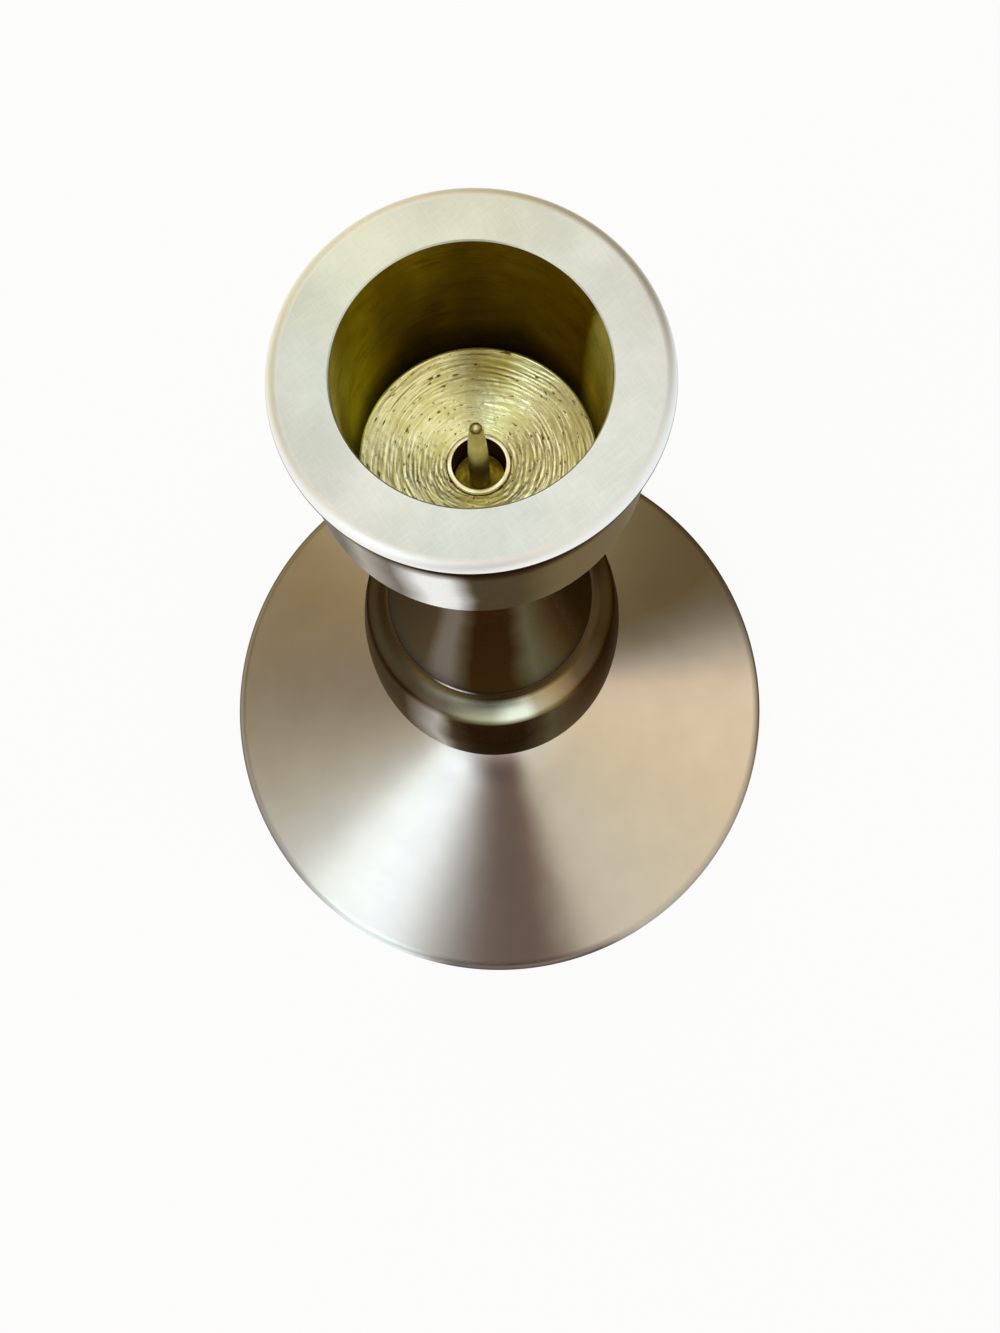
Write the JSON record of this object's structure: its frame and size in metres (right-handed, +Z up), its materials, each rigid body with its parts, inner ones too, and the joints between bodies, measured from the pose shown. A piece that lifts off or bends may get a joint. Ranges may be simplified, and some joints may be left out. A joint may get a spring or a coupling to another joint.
{
  "type": "taper candle holder",
  "caption": "Tall turned holder for a taper candle: deep cup with a brass socket and pricket pin, trumpet neck, long knop and wide conical base.",
  "frame": {"origin": "centre of the felt's underside, on the table", "axes": "+Z up along the axis that every turned piece shares; X and Y are level, and alike by symmetry"},
  "size_m": [0.107, 0.107, 0.178],
  "materials": {
    "satin_nickel": "satin nickel plate over turned brass",
    "raw_brass": "bare turned brass with tool rings",
    "weight_iron": "as cast, oiled black",
    "zinc_steel": "bright zinc plate",
    "felt": "pressed wool felt"
  },
  "bodies": {
    "root": {"candle_cup": "satin_nickel", "upper_neck": "satin_nickel", "knop": "satin_nickel", "lower_neck": "satin_nickel", "base": "satin_nickel", "tie_rod": "raw_brass", "pricket_pin": "raw_brass", "base_weight": "weight_iron", "plain_washer": "zinc_steel", "lock_washer": "zinc_steel", "hex_nut": "zinc_steel", "felt_pad": "felt"}
  },
  "joints": []
}
